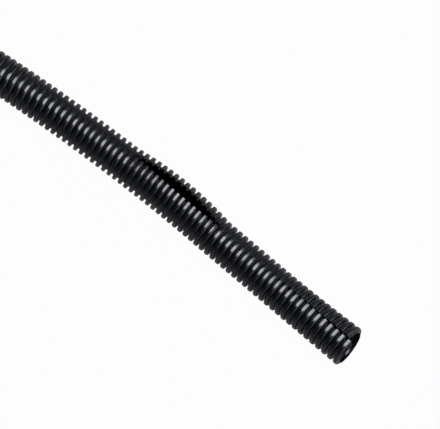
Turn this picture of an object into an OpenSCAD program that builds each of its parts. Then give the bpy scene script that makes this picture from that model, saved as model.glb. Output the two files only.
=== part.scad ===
// Split corrugated conduit: one ribbed plastic tube, slit along its whole length.
// The origin is the middle of the first rib at the mouth, +X points out of the mouth and +Z is up.
// The tube lies on its side: straight behind the mouth, then a slack bend to -Y and back, then straight.

/* [Stock] */
// Length of the conduit along its axis
conduit_length = 500; // [400:10:600]
// Outer diameter over the ribs
crest_d = 21.2; // [20.6:0.1:24]
// Clear inner diameter
bore_d = 16.5; // [15:0.1:17]
// Wall thickness
wall = 0.5; // [0.4:0.05:0.6]

/* [Ribs] */
// Wanted distance from rib to rib
rib_pitch = 3.7; // [3.5:0.1:5]
// Width of a rib along the axis
rib_w = 2.4; // [2:0.1:2.6]
// Chamfer on both edges of a rib's crest
rib_chamfer = 0.5; // [0.2:0.05:0.6]

/* [Slit] */
// Width of the slit at the ribs
slit_w = 0.5; // [0.3:0.1:1.5]
// How much wider the slit is in the valleys between the ribs
slit_valley_extra = 0.4; // [0.3:0.1:1]
// Turn of the slit from straight up at the mouth, towards +Y
slit_turn = 14; // [-30:1:30]
// Further turn of the slit where its twist ends
slit_twist = 27; // [0:1:60]
// Length from the mouth over which the slit twists
twist_length = 240; // [120:10:500]

/* [Parted lips] */
// Distance from the mouth to the middle of the parted lips
gape_at = 118; // [90:1:160]
// Length of the parted lips
gape_length = 61; // [50:1:120]
// Extra width of the slit in the middle of the parted lips
gape_w = 6; // [2:0.1:6.5]

/* [Lay] */
// Straight length behind the mouth
straight_length = 100; // [60:5:200]
// Radius of the bend away from the mouth's line
bend_r = 1100; // [400:10:1600]
// Length of that bend
bend_length = 145; // [60:5:160]
// Radius of the bend back to the mouth's direction
return_r = 400; // [300:10:700]

/* [Hidden] */
$fn = 64;
// Ribs that fill the length, and the pitch that they then have
rib_count = round(conduit_length / rib_pitch);
pitch = conduit_length / rib_count;
crest_r = crest_d / 2;
bore_r = bore_d / 2;
// Depth to which a valley's ring is let into the side walls of its ribs
seat = wall / 2;
// Length of the bend back, which undoes the turn of the first bend
return_length = bend_length / bend_r * return_r;

// Angle of a width measured along a circle
function width_angle(w, r) = w / r * 180 / PI;

// Distance from the mouth to the middle of rib i, ribs counted from 0
function rib_at(i) = (i + 0.5) * pitch;

// Extra width of the slit at s from the mouth, a lens that closes at both ends
function gape(s) =
  let (u = (s - gape_at) / (gape_length / 2))
  abs(u) < 1 ? gape_w * (1 - u * u) : 0;

// Growth of the radius where the lips part, because the wall keeps its girth
function swell(s) = gape(s) / (2 * PI);

// Turn of the slit at s
function turn(s) = slit_turn + slit_twist * min(s / twist_length, 1);

// Lengths of the two bends that lie between the mouth and s
function in_bend(s) = max(0, min(s - straight_length, bend_length));
function in_return(s) = max(0, min(s - straight_length - bend_length, return_length));

// Turn of the axis at s, as seen from above
function heading(s) = (in_bend(s) / bend_r - in_return(s) / return_r) * 180 / PI;

// Step along an arc from heading a to heading b, towards the tail
function arc_step(a, b, r) = [r * (sin(a) - sin(b)), r * (cos(b) - cos(a))];

// Place of the axis at s, seen from above
function axis_at(s) =
  let (a = in_bend(s) / bend_r * 180 / PI)
  let (past = s - in_bend(s) - in_return(s))
  [rib_at(0) - past, 0]
  + arc_step(0, a, bend_r)
  + arc_step(heading(s), a, return_r);

// Puts children that lie across Z on the axis at s, raised where the tube is wider
module on_axis(s) {
  p = axis_at(s);
  translate([p[0], p[1], swell(s)]) rotate([0, 0, heading(s)]) rotate([0, 90, 0]) children();
}

// Turns a profile about Z, left open at the slit
module split_ring(s, gap_angle) {
  rotate([0, 0, 180 - turn(s) + gap_angle / 2])
    rotate_extrude(angle = 360 - gap_angle) children();
}

// One hollow rib: a crest with chamfered edges between two side walls
module rib(s) {
  r = crest_r + swell(s);
  foot = bore_r + seat + swell(s);
  h = rib_w / 2;
  c = rib_chamfer;
  outside = [[foot, -h], [r - c, -h], [r, c - h], [r, h - c], [r - c, h], [foot, h]];
  inside = [[foot, h - wall], [r - wall, h - wall], [r - wall, wall - h], [foot, wall - h]];
  on_axis(s) split_ring(s, width_angle(slit_w + gape(s), r)) polygon(concat(outside, inside));
}

// The wall of a valley, from s = a to s = b
module valley(a, b) {
  s = (a + b) / 2;
  r = bore_r + swell(s);
  gap = slit_w + slit_valley_extra + gape(s);
  on_axis(s) split_ring(s, width_angle(gap, r + wall))
    translate([r, (a - b) / 2]) square([wall, b - a]);
}

// The whole tube: ribs, and valleys let into their side walls, cut square at both ends
module conduit() {
  last = rib_count - 1;
  reach = rib_w / 2 - seat;
  color("#161616") union() {
    for (i = [0 : last]) rib(rib_at(i));
    for (i = [1 : last]) valley(rib_at(i - 1) + reach, rib_at(i) - reach);
    valley(0, rib_at(0) - reach);
    valley(rib_at(last) + reach, conduit_length);
  }
}

conduit();
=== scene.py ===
"""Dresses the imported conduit: its ribbed and slit wall, its black plastic, and a white stage."""

import math
from functools import partial

import bpy
from mathutils import Euler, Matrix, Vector


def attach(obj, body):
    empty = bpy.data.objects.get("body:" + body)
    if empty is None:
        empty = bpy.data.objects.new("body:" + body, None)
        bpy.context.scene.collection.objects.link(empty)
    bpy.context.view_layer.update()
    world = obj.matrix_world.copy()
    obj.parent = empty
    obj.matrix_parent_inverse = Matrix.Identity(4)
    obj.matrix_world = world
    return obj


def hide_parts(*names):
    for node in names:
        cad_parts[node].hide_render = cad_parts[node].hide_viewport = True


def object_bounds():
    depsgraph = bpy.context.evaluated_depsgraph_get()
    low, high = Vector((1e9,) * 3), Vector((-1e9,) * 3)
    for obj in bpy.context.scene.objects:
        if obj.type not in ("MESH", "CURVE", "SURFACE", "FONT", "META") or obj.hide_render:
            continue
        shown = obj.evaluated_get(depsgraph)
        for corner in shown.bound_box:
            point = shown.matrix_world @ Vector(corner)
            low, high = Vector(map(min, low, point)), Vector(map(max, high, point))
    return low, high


bl_info = {
    "name": "Split corrugated conduit",
    "version": (1, 0, 0),
    "blender": (4, 5, 0),
    "location": "3D View > Sidebar > Conduit",
    "description": "Builds the ribbed and slit wall of the conduit, its plastic and a plain stage",
    "category": "Add Mesh",
}

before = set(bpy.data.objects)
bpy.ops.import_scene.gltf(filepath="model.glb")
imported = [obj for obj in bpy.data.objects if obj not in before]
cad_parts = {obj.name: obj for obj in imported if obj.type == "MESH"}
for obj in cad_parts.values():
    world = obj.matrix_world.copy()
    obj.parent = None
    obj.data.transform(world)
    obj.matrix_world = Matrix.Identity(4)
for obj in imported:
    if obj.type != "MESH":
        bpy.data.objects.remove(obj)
CAD_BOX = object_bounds()

# Kinds of node that are named often
MATH = "ShaderNodeMath"
RANGE = "ShaderNodeMapRange"
MIX = "ShaderNodeMix"
NOISE = "ShaderNodeTexNoise"


def linear(code):
    """Linear red, green and blue of an sRGB hex colour."""
    channels = [int(code[i:i + 2], 16) / 255 for i in (1, 3, 5)]
    return tuple(c / 12.92 if c <= 0.04045 else ((c + 0.055) / 1.055) ** 2.4 for c in channels)


def add(tree, kind, *values, named=None, **settings):
    """Adds a node with its settings, feeds its inputs by order or name, gives its first output."""
    node = tree.nodes.new(kind)
    for name, value in settings.items():
        setattr(node, name, value)
    feeds = list(zip([socket for socket in node.inputs if socket.enabled], values))
    feeds += [(node.inputs[name], value) for name, value in (named or {}).items()]
    for socket, value in feeds:
        if isinstance(value, bpy.types.NodeSocket):
            tree.links.new(value, socket)
        else:
            socket.default_value = value
    return next((socket for socket in node.outputs if socket.enabled), None)


class ConduitSizes(bpy.types.PropertyGroup):
    """Sizes of the conduit's wall, its slit and its lay."""

    length: bpy.props.FloatProperty(
        name="Length", description="Length of the conduit along its axis",
        default=0.5, unit="LENGTH")
    crest_radius: bpy.props.FloatProperty(
        name="Crest radius", description="Outer radius over the ribs",
        default=0.0106, unit="LENGTH")
    bore_radius: bpy.props.FloatProperty(
        name="Bore radius", description="Clear inner radius",
        default=0.00825, unit="LENGTH")
    wall: bpy.props.FloatProperty(
        name="Wall", description="Wall thickness",
        default=0.0003, unit="LENGTH")
    ribs: bpy.props.IntProperty(
        name="Ribs", description="Number of ribs along the length",
        default=135)
    crest_share: bpy.props.FloatProperty(
        name="Crest share", description="Width of a rib as a share of the pitch",
        default=0.57, subtype="FACTOR")
    crest_flatness: bpy.props.FloatProperty(
        name="Crest flatness", description="How flat the crests are: 0 is a wave",
        default=3.2)
    valley_flatness: bpy.props.FloatProperty(
        name="Valley flatness", description="How flat the valleys are: 0 is a wave",
        default=0.2)
    side_steepness: bpy.props.FloatProperty(
        name="Side steepness", description="How upright the sides of a rib are: 0 is a wave",
        default=0.75)
    slit_width: bpy.props.FloatProperty(
        name="Slit width", description="Width of the closed slit",
        default=0.0002, unit="LENGTH")
    slit_turn: bpy.props.FloatProperty(
        name="Slit turn", description="Turn of the slit from straight up at the mouth, towards +Y",
        default=math.radians(14), subtype="ANGLE")
    slit_twist: bpy.props.FloatProperty(
        name="Slit twist", description="Further turn of the slit where its twist ends",
        default=math.radians(27), subtype="ANGLE")
    twist_length: bpy.props.FloatProperty(
        name="Twist length", description="Length over which the slit twists",
        default=0.24, unit="LENGTH")
    gape_at: bpy.props.FloatProperty(
        name="Gape at", description="Distance from the mouth to the middle of the parted lips",
        default=0.118, unit="LENGTH")
    gape_length: bpy.props.FloatProperty(
        name="Gape length", description="Length of the parted lips",
        default=0.061, unit="LENGTH")
    gape_width: bpy.props.FloatProperty(
        name="Gape width", description="Extra width of the slit between the parted lips",
        default=0.006, unit="LENGTH")
    mouth_gap: bpy.props.FloatProperty(
        name="Mouth gap", description="Extra width of the slit at the mouth",
        default=0.0012, unit="LENGTH")
    mouth_bulge: bpy.props.FloatProperty(
        name="Mouth bulge", description="How far the mouth is pressed out of round towards +Y",
        default=0.0012, unit="LENGTH")
    mouth_length: bpy.props.FloatProperty(
        name="Mouth length", description="Length over which the mouth flares",
        default=0.05, unit="LENGTH")
    mouth_stretch: bpy.props.FloatProperty(
        name="Mouth stretch", description="How far the ribs at the mouth are drawn out",
        default=0.0024, unit="LENGTH")
    lip_shift: bpy.props.FloatProperty(
        name="Lip shift", description="How far the lip at -Y stands out past the other at +Y",
        default=0.0034, unit="LENGTH")
    shift_length: bpy.props.FloatProperty(
        name="Shift length", description="Length over which the lips come level",
        default=0.055, unit="LENGTH")
    middle_lean: bpy.props.FloatProperty(
        name="Middle lean", description="Lean of the ribs across the axis past the parted lips",
        default=math.radians(1.9), subtype="ANGLE")
    mouth_nod: bpy.props.FloatProperty(
        name="Mouth nod", description="How far the tops of the ribs lie back at the mouth",
        default=math.radians(9.2), subtype="ANGLE")
    neck_nod: bpy.props.FloatProperty(
        name="Neck nod", description="How far the tops lie back between the mouth and the gape",
        default=math.radians(2.3), subtype="ANGLE")
    neck_start: bpy.props.FloatProperty(
        name="Neck start", description="Distance from the mouth up to which the mouth's nod goes",
        default=0.03, unit="LENGTH")
    neck_end: bpy.props.FloatProperty(
        name="Neck end", description="Distance from the mouth at which the neck's nod is reached",
        default=0.06, unit="LENGTH")
    middle_nod: bpy.props.FloatProperty(
        name="Middle nod", description="How far the tops of the ribs lie back past the gape",
        default=math.radians(-4.3), subtype="ANGLE")
    bend_nod: bpy.props.FloatProperty(
        name="Bend nod", description="How far the tops of the ribs lie back out of the first bend",
        default=math.radians(9), subtype="ANGLE")
    fade_length: bpy.props.FloatProperty(
        name="Fade length", description="Length over which lean and nod come and go",
        default=0.06, unit="LENGTH")
    straight_length: bpy.props.FloatProperty(
        name="Straight length", description="Straight length behind the mouth",
        default=0.1, unit="LENGTH")
    bend_radius: bpy.props.FloatProperty(
        name="Bend radius", description="Radius of the first bend, to -Y",
        default=1.1, unit="LENGTH")
    bend_length: bpy.props.FloatProperty(
        name="Bend length", description="Length of the first bend",
        default=0.145, unit="LENGTH")
    return_radius: bpy.props.FloatProperty(
        name="Return radius", description="Radius of the bend back",
        default=0.4, unit="LENGTH")
    rows: bpy.props.IntProperty(
        name="Rows per rib", description="Faces along one rib and its valley",
        default=10)
    columns: bpy.props.IntProperty(
        name="Columns", description="Faces round the tube",
        default=35)


class ConduitFinish(bpy.types.PropertyGroup):
    """Colours, gloss and fine patterns of the plastic."""

    plastic: bpy.props.FloatVectorProperty(
        name="Plastic", description="Colour of the clean plastic",
        default=linear("#050609"), subtype="COLOR")
    # Lighter colour for the scuffs, and for the crest tops against the darker valleys, where it is
    # painted shade
    scuff_and_crest_colour: bpy.props.FloatVectorProperty(
        name="Bloom", description="Colour where the plastic is hazy or scuffed",
        default=linear("#16171e"), subtype="COLOR")
    # This share sets how much darker the valleys are than the crest tops: painted shade, partly
    # haze
    haze_and_painted_shade: bpy.props.FloatProperty(
        name="Haze", description="Share of the bloom on top of the crests",
        default=0.35, subtype="FACTOR")
    scuffing: bpy.props.FloatProperty(
        name="Scuffing", description="Share of the bloom in a scuff",
        default=0.45, subtype="FACTOR")
    scuff_size: bpy.props.FloatProperty(
        name="Scuff size", description="Size of the scuffs on the crests",
        default=0.0025, unit="LENGTH")
    patch_size: bpy.props.FloatProperty(
        name="Patch size", description="Size of the patches of uneven gloss",
        default=0.009, unit="LENGTH")
    gloss: bpy.props.FloatProperty(
        name="Gloss", description="Roughness of the glossiest patches",
        default=0.17, subtype="FACTOR")
    satin: bpy.props.FloatProperty(
        name="Satin", description="Roughness of the dullest patches",
        default=0.28, subtype="FACTOR")
    scuff_matting: bpy.props.FloatProperty(
        name="Scuff matting", description="How much rougher the plastic is in a scuff",
        default=0.4, subtype="FACTOR")
    peel_size: bpy.props.FloatProperty(
        name="Peel size", description="Size of the orange peel",
        default=0.0009, unit="LENGTH")
    peel_depth: bpy.props.FloatProperty(
        name="Peel depth", description="Depth of the orange peel",
        default=0.00012, unit="LENGTH")


class ConduitStage(bpy.types.PropertyGroup):
    """Floor, light and camera."""

    floor: bpy.props.FloatVectorProperty(
        name="Floor", description="Colour of the floor under the light",
        default=linear("#8c8c8c"), subtype="COLOR")
    floor_white: bpy.props.FloatProperty(
        name="Floor white", description="Share of plain white that the camera sees in the floor",
        default=0.975, subtype="FACTOR")
    floor_mirrored: bpy.props.FloatProperty(
        name="Floor mirrored", description="Share of plain white where the tube mirrors the floor",
        default=0.1, subtype="FACTOR")
    floor_reach: bpy.props.FloatProperty(
        name="Floor reach", description="How far the floor goes on to each side",
        default=150.0, unit="LENGTH")
    softbox: bpy.props.FloatProperty(
        name="Softbox power", description="Power of the softbox over the tube",
        default=41.0, unit="POWER")
    softbox_colour: bpy.props.FloatVectorProperty(
        name="Softbox colour", description="Colour of the softbox",
        default=linear("#f8faff"), subtype="COLOR")
    softbox_length: bpy.props.FloatProperty(
        name="Softbox length", description="Size of the softbox across the tube",
        default=1.5, unit="LENGTH")
    softbox_width: bpy.props.FloatProperty(
        name="Softbox width", description="Size of the softbox along the tube",
        default=1.1, unit="LENGTH")
    softbox_over: bpy.props.FloatProperty(
        name="Softbox over", description="How far behind the mouth the softbox is aimed",
        default=0.1, unit="LENGTH")
    softbox_height: bpy.props.FloatProperty(
        name="Softbox height", description="Distance from the softbox to the tube",
        default=2.0, unit="LENGTH")
    softbox_lean: bpy.props.FloatProperty(
        name="Softbox lean", description="How far the softbox stands off to +Y",
        default=math.radians(8.2), subtype="ANGLE")
    softbox_slope: bpy.props.FloatProperty(
        name="Softbox slope", description="How far the softbox stands off to the tail",
        default=math.radians(4.6), subtype="ANGLE")
    surround: bpy.props.FloatVectorProperty(
        name="Surround", description="Colour of the room round the tube",
        default=linear("#393d48"), subtype="COLOR")
    glow: bpy.props.FloatVectorProperty(
        name="Glow", description="Colour of the light walls of the room",
        default=linear("#c5cad2"), subtype="COLOR")
    end_light: bpy.props.FloatProperty(
        name="End light", description="Strength of the light wall past the mouth",
        default=3.0)
    end_turn: bpy.props.FloatProperty(
        name="End turn", description="Turn of the end light towards +Y from straight ahead",
        default=math.radians(25), subtype="ANGLE")
    side_glow: bpy.props.FloatProperty(
        name="Side glow", description="Share of the glow on the wall at +Y",
        default=0.35, subtype="FACTOR")
    low_glow: bpy.props.FloatProperty(
        name="Low glow", description="Share of the glow at the foot of the walls all round",
        default=0.5, subtype="FACTOR")
    azimuth: bpy.props.FloatProperty(
        name="Camera azimuth", description="Turn of the camera round the tube",
        default=math.radians(40.566), subtype="ANGLE")
    elevation: bpy.props.FloatProperty(
        name="Camera elevation", description="Height of the camera above the horizon",
        default=math.radians(80), subtype="ANGLE")
    distance: bpy.props.FloatProperty(
        name="Camera distance", description="Distance from the camera to its target",
        default=2.6, unit="LENGTH")
    view_width: bpy.props.FloatProperty(
        name="View width", description="Width of the view at the target",
        default=0.229, unit="LENGTH")
    target: bpy.props.FloatVectorProperty(
        name="Target", description="Point that the camera looks at",
        default=(-0.09272, 0.01036, 0.0), subtype="XYZ", unit="LENGTH")


def polypropylene(finish):
    """Black polypropylene, blow-moulded and drawn through a chain of chilled mould halves."""
    # Carbon black makes it near black right through, so what the eye sees is mostly its gloss:
    # smooth but uneven where the melt met the mould, with a fine orange peel that breaks up long
    # highlights, and crests scuffed by handling. Its colour is darker in the valleys and lighter
    # towards the crest tops: painted shade in the valleys, partly haze on the crests
    material = bpy.data.materials.new("Black polypropylene, blow-moulded")
    material.use_nodes = True
    tree = material.node_tree
    tree.nodes.clear()
    put = partial(add, tree)
    place = put("ShaderNodeTexCoord").node.outputs["Object"]
    crest = put("ShaderNodeAttribute", attribute_name="rib_height").node.outputs["Fac"]

    # The colour lightens towards the top of a crest, as painted shade in the valleys and partly
    # haze, and the peaks of a noise on the crests are scuffs
    scuff_peaks = (0.62, 0.78)
    haze_and_shade_heights = (0.3, 1.0)
    scuff_scale = 1 / finish.scuff_size
    scuffs = put(NOISE, place, named={"Scale": scuff_scale, "Detail": 4.0, "Roughness": 0.7})
    scuffed = put(RANGE, scuffs, *scuff_peaks, 0.0, finish.scuffing)
    rubbed = put(MATH, scuffed, crest, operation="MULTIPLY")
    # Painted shade: the valleys keep the dark clean colour and the crest tops take the lighter one
    haze_and_painted_shade = put(RANGE, crest, *haze_and_shade_heights, 0.0, finish.haze_and_painted_shade)
    scuffs_and_painted_shade = put(MATH, rubbed, haze_and_painted_shade, operation="MAXIMUM")
    colour = put(MIX, scuffs_and_painted_shade, (*finish.plastic, 1), (*finish.scuff_and_crest_colour, 1), data_type="RGBA")

    # Gloss goes from patch to patch, and a scuff is rougher than what is round it
    patch_tones = (0.3, 0.7)
    patch_scale = 1 / finish.patch_size
    patches = put(NOISE, place, named={"Scale": patch_scale, "Detail": 3.0, "Roughness": 0.55})
    sheen = put(RANGE, patches, *patch_tones, finish.gloss, finish.satin)
    roughness = put(MATH, rubbed, finish.scuff_matting, sheen, operation="MULTIPLY_ADD")

    # Orange peel is drawn coarser than real, so that it shows in the render
    peel_scale = 1 / finish.peel_size
    peel = put(NOISE, place, named={"Scale": peel_scale, "Detail": 2.0, "Roughness": 0.5})
    bump = put("ShaderNodeBump", named={
        "Strength": 0.25, "Distance": finish.peel_depth, "Height": peel})
    shader = put("ShaderNodeBsdfPrincipled", named={
        "Base Color": colour, "Roughness": roughness, "IOR": 1.55, "Normal": bump})
    put("ShaderNodeOutputMaterial", shader)
    return material


def wall_sheet(put, size):
    """Flat sheet that becomes the wall, and what each of its points stands for.

    Rows run along the tube, with one more at each end, in the middle of the wall, that closes the
    cut. Columns go round the skin from the lip at +Y to the other, back round the bore, and end
    where they began. A point's share of the way round goes from 0 at the lip at +Y to 1.
    """
    rows = put("FunctionNodeIntegerMath", size["Ribs"], size["Rows per rib"], 3,
               operation="MULTIPLY_ADD")
    columns = put("FunctionNodeIntegerMath", size["Columns"], 2, 3, operation="MULTIPLY_ADD")
    sheet = put("GeometryNodeMeshGrid", 1.0, 1.0, rows, columns)
    edges = (-0.5, 0.5)
    place = put("ShaderNodeSeparateXYZ", put("GeometryNodeInputPosition")).node.outputs

    last_row = put(MATH, size["Ribs"], size["Rows per rib"], operation="MULTIPLY")
    past_last = put(MATH, last_row, 1.0, operation="ADD")
    sheet_row = put(RANGE, place["X"], *edges, -1.0, past_last)
    row = put("ShaderNodeClamp", sheet_row, 0.0, last_row)
    rows_out = put(MATH, sheet_row, row, operation="SUBTRACT")
    rows_out = put(MATH, rows_out, operation="ABSOLUTE")
    at_end = put(MATH, rows_out, 0.5, operation="GREATER_THAN")

    last_column = put(MATH, size["Columns"], 2.0, 2.0, operation="MULTIPLY_ADD")
    column = put(RANGE, place["Y"], *edges, 0.0, last_column)
    middle = put(MATH, size["Columns"], 0.5, operation="ADD")
    from_middle = put(MATH, column, middle, operation="SUBTRACT")
    from_middle = put(MATH, from_middle, operation="ABSOLUTE")
    from_lip = put(MATH, middle, from_middle, operation="SUBTRACT")
    round_share = put(RANGE, from_lip, 0.0, size["Columns"])

    past_middle = put(MATH, column, middle, operation="GREATER_THAN")
    bore_end = put(MATH, last_column, 0.5, operation="SUBTRACT")
    back_out = put(MATH, column, bore_end, operation="GREATER_THAN")
    inside = put(MATH, past_middle, back_out, operation="SUBTRACT")
    outside = put(MATH, 1.0, inside, operation="SUBTRACT")
    depth_share = put(MIX, at_end, outside, 0.5)
    return sheet, row, round_share, inside, depth_share


def rib_wave(put, size, row, inside, depth_share):
    """Height of a rib from 0 to 1, the radius, the pitch and the distance from the mouth."""
    ribs_passed = put(MATH, row, size["Rows per rib"], operation="DIVIDE")
    phase = put(MATH, ribs_passed, math.tau, operation="MULTIPLY")
    phase_cosine = put(MATH, phase, operation="COSINE")
    wave = put(MATH, phase_cosine, -1.0, operation="MULTIPLY")

    # The wave is pressed flat on the crests and in the valleys
    on_crest = put(MATH, wave, 0.0, operation="GREATER_THAN")
    flatness = put(MIX, on_crest, size["Valley flatness"], size["Crest flatness"])
    wave_top = put(MATH, wave, flatness, wave, operation="MULTIPLY_ADD")
    wave_size = put(MATH, wave, operation="ABSOLUTE")
    wave_base = put(MATH, wave_size, flatness, 1.0, operation="MULTIPLY_ADD")
    pressed = put(MATH, wave_top, wave_base, operation="DIVIDE")
    rib_height = put(MATH, pressed, 0.5, 0.5, operation="MULTIPLY_ADD")
    valley_radius = put(MATH, size["Bore radius"], size["Wall"], operation="ADD")
    rib_rise = put(MATH, size["Crest radius"], valley_radius, operation="SUBTRACT")
    wall_radius = put(MATH, size["Wall"], depth_share, size["Bore radius"],
                      operation="MULTIPLY_ADD")
    radius = put(MATH, rib_rise, rib_height, wall_radius, operation="MULTIPLY_ADD")

    # Its points are spread for the width of the crests, and gathered to draw the sides upright
    pitch = put(MATH, size["Length"], size["Ribs"], operation="DIVIDE")
    wall_share = put(MATH, size["Wall"], pitch, operation="DIVIDE")
    thinned = put(MATH, wall_share, inside, operation="MULTIPLY")
    crest_share = put(MATH, thinned, -2.0, size["Crest share"], operation="MULTIPLY_ADD")
    half_share = put(MATH, crest_share, 0.5, operation="MULTIPLY")
    widening = put(MATH, 0.25, half_share, operation="SUBTRACT")
    phase_sine = put(MATH, phase, operation="SINE")
    spread = put(MATH, widening, phase_sine, operation="MULTIPLY")
    double_phase = put(MATH, phase, 2.0, operation="MULTIPLY")
    double_sine = put(MATH, double_phase, operation="SINE")
    steepness = put(MATH, size["Side steepness"], 2 * math.tau, operation="DIVIDE")
    gathered = put(MATH, double_sine, steepness, operation="MULTIPLY")
    in_ribs = put(MATH, ribs_passed, spread, operation="ADD")
    in_ribs = put(MATH, in_ribs, gathered, operation="ADD")
    along = put(MATH, in_ribs, pitch, operation="MULTIPLY")
    return rib_height, radius, pitch, along


def slit_lips(put, size, along):
    """Turn of the slit, how far its lips part, and the mouth's flare, which goes from 1 to 0."""
    twisted = put(RANGE, along, 0.0, size["Twist length"], 0.0, size["Slit twist"])
    turn = put(MATH, twisted, size["Slit turn"], operation="ADD")
    gape_half = put(MATH, size["Gape length"], 0.5, operation="MULTIPLY")
    from_gape = put(MATH, along, size["Gape at"], operation="SUBTRACT")
    in_gape = put(MATH, from_gape, gape_half, operation="DIVIDE")
    in_gape_squared = put(MATH, in_gape, in_gape, operation="MULTIPLY")
    lens = put(MATH, in_gape_squared, -1.0, 1.0, operation="MULTIPLY_ADD")
    lens = put(MATH, lens, 0.0, operation="MAXIMUM")
    near_mouth = put(RANGE, along, 0.0, size["Mouth length"], 1.0, 0.0)
    flare = put(MATH, near_mouth, near_mouth, operation="MULTIPLY")
    mouth_gap = put(MATH, size["Mouth gap"], flare, operation="MULTIPLY")
    parted = put(MATH, size["Gape width"], lens, mouth_gap, operation="MULTIPLY_ADD")
    return turn, parted, flare


def ring(put, size, radius, round_share, turn, parted, flare):
    """Place on the ring from lip to lip, sideways and upward, and how far the ring swells."""
    # The wall keeps its girth, so the ring swells by as much as its lips part
    swell = put(MATH, parted, math.tau, operation="DIVIDE")
    radius = put(MATH, radius, swell, operation="ADD")
    gap = put(MATH, size["Slit width"], parted, operation="ADD")
    diameter = put(MATH, radius, 2.0, operation="MULTIPLY")
    half_gap = put(MATH, gap, diameter, operation="DIVIDE")
    wrap = put(MATH, half_gap, -2.0, math.tau, operation="MULTIPLY_ADD")
    first_lip = put(MATH, turn, half_gap, operation="ADD")
    angle = put(MATH, round_share, wrap, first_lip, operation="MULTIPLY_ADD")
    sine = put(MATH, angle, operation="SINE")
    cosine = put(MATH, angle, operation="COSINE")
    far_side = put(MATH, sine, 0.0, operation="MAXIMUM")
    far_side = put(MATH, far_side, flare, operation="MULTIPLY")
    bulge = put(MATH, far_side, size["Mouth bulge"], operation="MULTIPLY")
    sideways = put(MATH, radius, sine, bulge, operation="MULTIPLY_ADD")
    upward = put(MATH, radius, cosine, operation="MULTIPLY")
    return sideways, upward, swell


def slack_path(put, size, along, sideways, upward, round_share, flare):
    """Distance from the mouth where the slack in the tube puts a point of a rib."""
    # The ribs nod at the mouth, in the neck behind it, past the lips and out of the first bend
    half_fade = put(MATH, size["Fade length"], 0.5, operation="MULTIPLY")
    lips_start = put(MATH, size["Gape at"], half_fade, operation="SUBTRACT")
    lips_end = put(MATH, size["Gape at"], half_fade, operation="ADD")
    past_lips = put(RANGE, along, lips_start, lips_end)
    bend_end = put(MATH, size["Straight length"], size["Bend length"], operation="ADD")
    nearly_out = put(MATH, bend_end, size["Fade length"], operation="SUBTRACT")
    bend_ending = put(RANGE, along, nearly_out, bend_end)
    faded_out = put(MATH, bend_end, size["Fade length"], operation="ADD")
    past_bend = put(RANGE, along, bend_end, faded_out)
    lean = put(MIX, past_lips, 0.0, size["Middle lean"])
    lean = put(MIX, past_bend, lean, 0.0)
    nod = put(RANGE, along, size["Neck start"], size["Neck end"],
              size["Mouth nod"], size["Neck nod"])
    nod = put(MIX, past_lips, nod, size["Middle nod"])
    nod = put(MIX, bend_ending, nod, size["Bend nod"])
    nod = put(MIX, past_bend, nod, 0.0)
    lean_tangent = put(MATH, lean, operation="TANGENT")
    nod_tangent = put(MATH, nod, operation="TANGENT")
    path = put(MATH, sideways, lean_tangent, along, operation="MULTIPLY_ADD")
    path = put(MATH, upward, nod_tangent, path, operation="MULTIPLY_ADD")

    # At the mouth one lip runs ahead of the other, and the ribs are drawn out
    shift = put(RANGE, along, 0.0, size["Shift length"], size["Lip shift"], 0.0)
    from_back = put(MATH, 0.5, round_share, operation="SUBTRACT")
    path = put(MATH, shift, from_back, path, operation="MULTIPLY_ADD")
    stretch = put(MATH, flare, size["Mouth stretch"], operation="MULTIPLY")
    return put(MATH, path, stretch, operation="SUBTRACT")


def lay(put, size, path, pitch):
    """The axis, straight, bent to -Y, bent back and straight: X, Y, sine and cosine of its turn."""
    bend_turn = put(MATH, size["Bend length"], size["Bend radius"], operation="DIVIDE")
    return_length = put(MATH, bend_turn, size["Return radius"], operation="MULTIPLY")
    past_straight = put(MATH, path, size["Straight length"], operation="SUBTRACT")
    in_bend = put("ShaderNodeClamp", past_straight, 0.0, size["Bend length"])
    past_bend = put(MATH, past_straight, size["Bend length"], operation="SUBTRACT")
    in_return = put("ShaderNodeClamp", past_bend, 0.0, return_length)
    bent = put(MATH, in_bend, size["Bend radius"], operation="DIVIDE")
    bent_back = put(MATH, in_return, size["Return radius"], operation="DIVIDE")
    heading = put(MATH, bent, bent_back, operation="SUBTRACT")
    bent_sine = put(MATH, bent, operation="SINE")
    bent_cosine = put(MATH, bent, operation="COSINE")
    heading_sine = put(MATH, heading, operation="SINE")
    heading_cosine = put(MATH, heading, operation="COSINE")

    on_bends = put(MATH, in_bend, in_return, operation="ADD")
    on_straights = put(MATH, path, on_bends, operation="SUBTRACT")
    mouth_x = put(MATH, pitch, 0.5, operation="MULTIPLY")
    bend_x = put(MATH, size["Bend radius"], bent_sine, operation="MULTIPLY")
    return_x = put(MATH, heading_sine, bent_sine, operation="SUBTRACT")
    axis_x = put(MATH, mouth_x, on_straights, operation="SUBTRACT")
    axis_x = put(MATH, axis_x, bend_x, operation="SUBTRACT")
    axis_x = put(MATH, return_x, size["Return radius"], axis_x, operation="MULTIPLY_ADD")
    bend_y = put(MATH, bent_cosine, 1.0, operation="SUBTRACT")
    return_y = put(MATH, bent_cosine, heading_cosine, operation="SUBTRACT")
    axis_y = put(MATH, size["Bend radius"], bend_y, operation="MULTIPLY")
    axis_y = put(MATH, return_y, size["Return radius"], axis_y, operation="MULTIPLY_ADD")
    return axis_x, axis_y, heading_sine, heading_cosine


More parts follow.
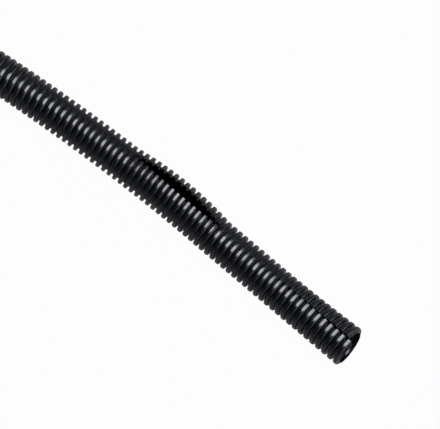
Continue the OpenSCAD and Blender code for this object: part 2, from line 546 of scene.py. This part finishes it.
def wall_tree(sizes):
    """Geometry Nodes tree of the conduit's wall, with one named input for each of its sizes."""
    tree = bpy.data.node_groups.new("Conduit wall", "GeometryNodeTree")
    kinds = {"FLOAT": "NodeSocketFloat", "INT": "NodeSocketInt"}
    for item in sizes.bl_rna.properties:
        if item.type in kinds:
            tree.interface.new_socket(item.name, in_out="INPUT", socket_type=kinds[item.type])
    tree.interface.new_socket("Material", in_out="INPUT", socket_type="NodeSocketMaterial")
    tree.interface.new_socket("Geometry", in_out="OUTPUT", socket_type="NodeSocketGeometry")
    size = tree.nodes.new("NodeGroupInput").outputs
    put = partial(add, tree)

    sheet, row, round_share, inside, depth_share = wall_sheet(put, size)
    rib_height, radius, pitch, along = rib_wave(put, size, row, inside, depth_share)
    turn, parted, flare = slit_lips(put, size, along)
    sideways, upward, swell = ring(put, size, radius, round_share, turn, parted, flare)
    path = slack_path(put, size, along, sideways, upward, round_share, flare)
    axis_x, axis_y, heading_sine, heading_cosine = lay(put, size, path, pitch)

    # The swell goes up and to +Y, so that the tube keeps lying where it lies
    off_axis = put(MATH, sideways, swell, operation="ADD")
    turned_x = put(MATH, heading_sine, off_axis, operation="MULTIPLY")
    x = put(MATH, axis_x, turned_x, operation="SUBTRACT")
    y = put(MATH, heading_cosine, off_axis, axis_y, operation="MULTIPLY_ADD")
    z = put(MATH, upward, swell, operation="ADD")
    place = put("ShaderNodeCombineXYZ", x, y, z)

    # The sheet's edges are welded where they meet, and only the cut edges are left sharp
    weld_distance = 0.000005
    cut_angle = math.radians(25)
    wall = put("GeometryNodeStoreNamedAttribute", sheet, True, "rib_height", rib_height,
               domain="POINT")
    wall = put("GeometryNodeSetPosition", wall, True, place)
    wall = put("GeometryNodeMergeByDistance", wall, True, weld_distance)
    wall = put("GeometryNodeFlipFaces", wall)
    wall = put("GeometryNodeSetShadeSmooth", wall, True, True, domain="FACE")
    edge_angle = put("GeometryNodeInputMeshEdgeAngle")
    cut_edge = put(MATH, edge_angle, cut_angle, operation="GREATER_THAN")
    wall = put("GeometryNodeSetShadeSmooth", wall, cut_edge, False, domain="EDGE")
    wall = put("GeometryNodeRealizeInstances", wall)
    wall = put("GeometryNodeSetMaterial", wall, True, size["Material"])
    put("NodeGroupOutput", wall)
    return tree


class OBJECT_OT_conduit_wall(bpy.types.Operator):
    """Build the ribbed wall of the conduit, slit along its length."""

    bl_idname = "object.conduit_wall"
    bl_label = "Conduit wall"

    def execute(self, context):
        sizes = context.scene.conduit_sizes
        tree = wall_tree(sizes)
        piece = bpy.data.objects.new("conduit_wall", bpy.data.meshes.new("conduit_wall"))
        context.scene.collection.objects.link(piece)
        modifier = piece.modifiers.new("Conduit wall", "NODES")
        modifier.node_group = tree
        sockets = [item for item in tree.interface.items_tree if item.in_out == "INPUT"]
        inputs = {socket.name: socket.identifier for socket in sockets}
        for item in sizes.bl_rna.properties:
            if item.name in inputs:
                modifier[inputs[item.name]] = getattr(sizes, item.identifier)
        modifier[inputs["Material"]] = polypropylene(context.scene.conduit_finish)
        graph = context.evaluated_depsgraph_get()
        mesh = bpy.data.meshes.new_from_object(
            piece.evaluated_get(graph), preserve_all_data_layers=True, depsgraph=graph)
        if not mesh.polygons:
            raise RuntimeError("The conduit's wall came out empty")
        piece.modifiers.clear()
        piece.data = mesh
        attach(piece, "root")
        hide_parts("conduit")
        return {"FINISHED"}


class OBJECT_OT_conduit_stage(bpy.types.Operator):
    """Set the floor, the light and the camera round the conduit."""

    bl_idname = "object.conduit_stage"
    bl_label = "Stage"

    def execute(self, context):
        scene = context.scene
        stage = scene.conduit_stage
        scene.view_settings.view_transform = "Standard"
        self.floor(scene, stage)
        self.softbox(scene, stage)
        self.room(scene, stage)
        self.camera(scene, stage)
        return {"FINISHED"}

    def floor(self, scene, stage):
        """A wide white floor that keeps the tube's shadow."""
        # Matt white board: an even, bright ground with a soft shadow under the tube
        material = bpy.data.materials.new("White board, matt")
        material.use_nodes = True
        tree = material.node_tree
        tree.nodes.clear()
        put = partial(add, tree)
        rays = put("ShaderNodeLightPath").node.outputs
        seen = put(MATH, rays["Is Camera Ray"], rays["Is Transmission Ray"], operation="MAXIMUM")
        white = put(MATH, seen, stage.floor_white, operation="MULTIPLY")
        # Less of the white is mirrored, because the tube shades the board beside it
        white = put(MATH, rays["Is Glossy Ray"], stage.floor_mirrored, white,
                    operation="MULTIPLY_ADD")
        board = put("ShaderNodeBsdfDiffuse", (*stage.floor, 1))
        glow = put("ShaderNodeEmission", (1, 1, 1, 1), 1.0)
        put("ShaderNodeOutputMaterial", put("ShaderNodeMixShader", white, board, glow))
        reach = stage.floor_reach
        low = CAD_BOX[0][2]
        corners = [(-reach, -reach, low), (reach, -reach, low), (reach, reach, low),
                   (-reach, reach, low)]
        mesh = bpy.data.meshes.new("floor")
        mesh.from_pydata(corners, [], [(0, 1, 2, 3)])
        mesh.materials.append(material)
        floor = bpy.data.objects.new("floor", mesh)
        scene.collection.objects.link(floor)

    def softbox(self, scene, stage):
        """One oval softbox high over the tube."""
        lamp = bpy.data.lights.new("softbox", "AREA")
        lamp.shape = "ELLIPSE"
        lamp.size = stage.softbox_width
        lamp.size_y = stage.softbox_length
        lamp.energy = stage.softbox
        lamp.color = stage.softbox_colour
        box = bpy.data.objects.new("softbox", lamp)
        facing = Euler((-stage.softbox_lean, -stage.softbox_slope, 0.0))
        reach = facing.to_matrix() @ Vector((0.0, 0.0, stage.softbox_height))
        box.location = Vector((-stage.softbox_over, 0.0, 0.0)) + reach
        box.rotation_euler = facing
        scene.collection.objects.link(box)

    def room(self, scene, stage):
        """A dark room, lighter past the mouth, at +Y and low down, and white to the camera."""
        world = bpy.data.worlds.new("Plain surround")
        world.use_nodes = True
        world.node_tree.nodes.clear()
        put = partial(add, world.node_tree)
        towards = put("ShaderNodeTexCoord").node.outputs["Generated"]
        way = put("ShaderNodeSeparateXYZ", towards).node.outputs
        end_way = (math.cos(stage.end_turn), math.sin(stage.end_turn), 0.0)
        facing = put("ShaderNodeVectorMath", towards, end_way, operation="DOT_PRODUCT")
        # A light wall fades in as the direction turns towards it, and 1 is straight at it
        end_fade = (0.4, 0.85)
        side_fade = (0.4, 0.9)
        low_fade = (0.0, 0.4)
        end = put(RANGE, facing.node.outputs["Value"], *end_fade, 0.0, 1.0)
        side = put(RANGE, way["Y"], *side_fade, 0.0, stage.side_glow)
        low = put(RANGE, way["Z"], *low_fade, stage.low_glow, 0.0)
        light = put(MATH, low, side, operation="MAXIMUM")
        light = put(MATH, end, light, operation="MAXIMUM")
        colour = put(MIX, light, (*stage.surround, 1), (*stage.glow, 1), data_type="RGBA")
        strength = put(RANGE, end, 0.0, 1.0, 1.0, stage.end_light)
        walls = put("ShaderNodeBackground", colour, strength)
        white = put("ShaderNodeBackground", (1, 1, 1, 1), 1.0)
        seen = put("ShaderNodeLightPath").node.outputs["Is Camera Ray"]
        put("ShaderNodeOutputWorld", put("ShaderNodeMixShader", seen, walls, white))
        scene.world = world

    def camera(self, scene, stage):
        """A long lens at the photograph's angle."""
        lens = bpy.data.cameras.new("camera")
        lens.sensor_width = 36.0
        lens.lens = lens.sensor_width * stage.distance / stage.view_width
        lens.clip_end = 1000.0
        camera = bpy.data.objects.new("camera", lens)
        away = Vector((
            math.sin(stage.azimuth) * math.cos(stage.elevation),
            -math.cos(stage.azimuth) * math.cos(stage.elevation),
            math.sin(stage.elevation)))
        camera.location = Vector(stage.target) + away * stage.distance
        camera.rotation_euler = away.to_track_quat("Z", "Y").to_euler()
        scene.collection.objects.link(camera)
        scene.camera = camera


class VIEW3D_PT_conduit(bpy.types.Panel):
    """Sizes, finish and stage of the conduit."""

    bl_idname = "VIEW3D_PT_conduit"
    bl_label = "Conduit"
    bl_space_type = "VIEW_3D"
    bl_region_type = "UI"
    bl_category = "Conduit"

    def draw(self, context):
        scene = context.scene
        for group in (scene.conduit_sizes, scene.conduit_finish, scene.conduit_stage):
            box = self.layout.box()
            for item in group.bl_rna.properties:
                if item.identifier not in ("rna_type", "name"):
                    box.prop(group, item.identifier)
        self.layout.operator("object.conduit_wall")
        self.layout.operator("object.conduit_stage")


CLASSES = (
    ConduitSizes,
    ConduitFinish,
    ConduitStage,
    OBJECT_OT_conduit_wall,
    OBJECT_OT_conduit_stage,
    VIEW3D_PT_conduit,
)


def register():
    """Register the classes and hang their settings on the scene."""
    for item in CLASSES:
        bpy.utils.register_class(item)
    bpy.types.Scene.conduit_sizes = bpy.props.PointerProperty(type=ConduitSizes)
    bpy.types.Scene.conduit_finish = bpy.props.PointerProperty(type=ConduitFinish)
    bpy.types.Scene.conduit_stage = bpy.props.PointerProperty(type=ConduitStage)


def unregister():
    """Take the settings off the scene and unregister the classes."""
    del bpy.types.Scene.conduit_stage
    del bpy.types.Scene.conduit_finish
    del bpy.types.Scene.conduit_sizes
    for item in reversed(CLASSES):
        bpy.utils.unregister_class(item)


def main():
    """Build the pieces and the stage."""
    register()
    bpy.ops.object.conduit_wall()
    bpy.ops.object.conduit_stage()


if __name__ == "__main__":
    main()
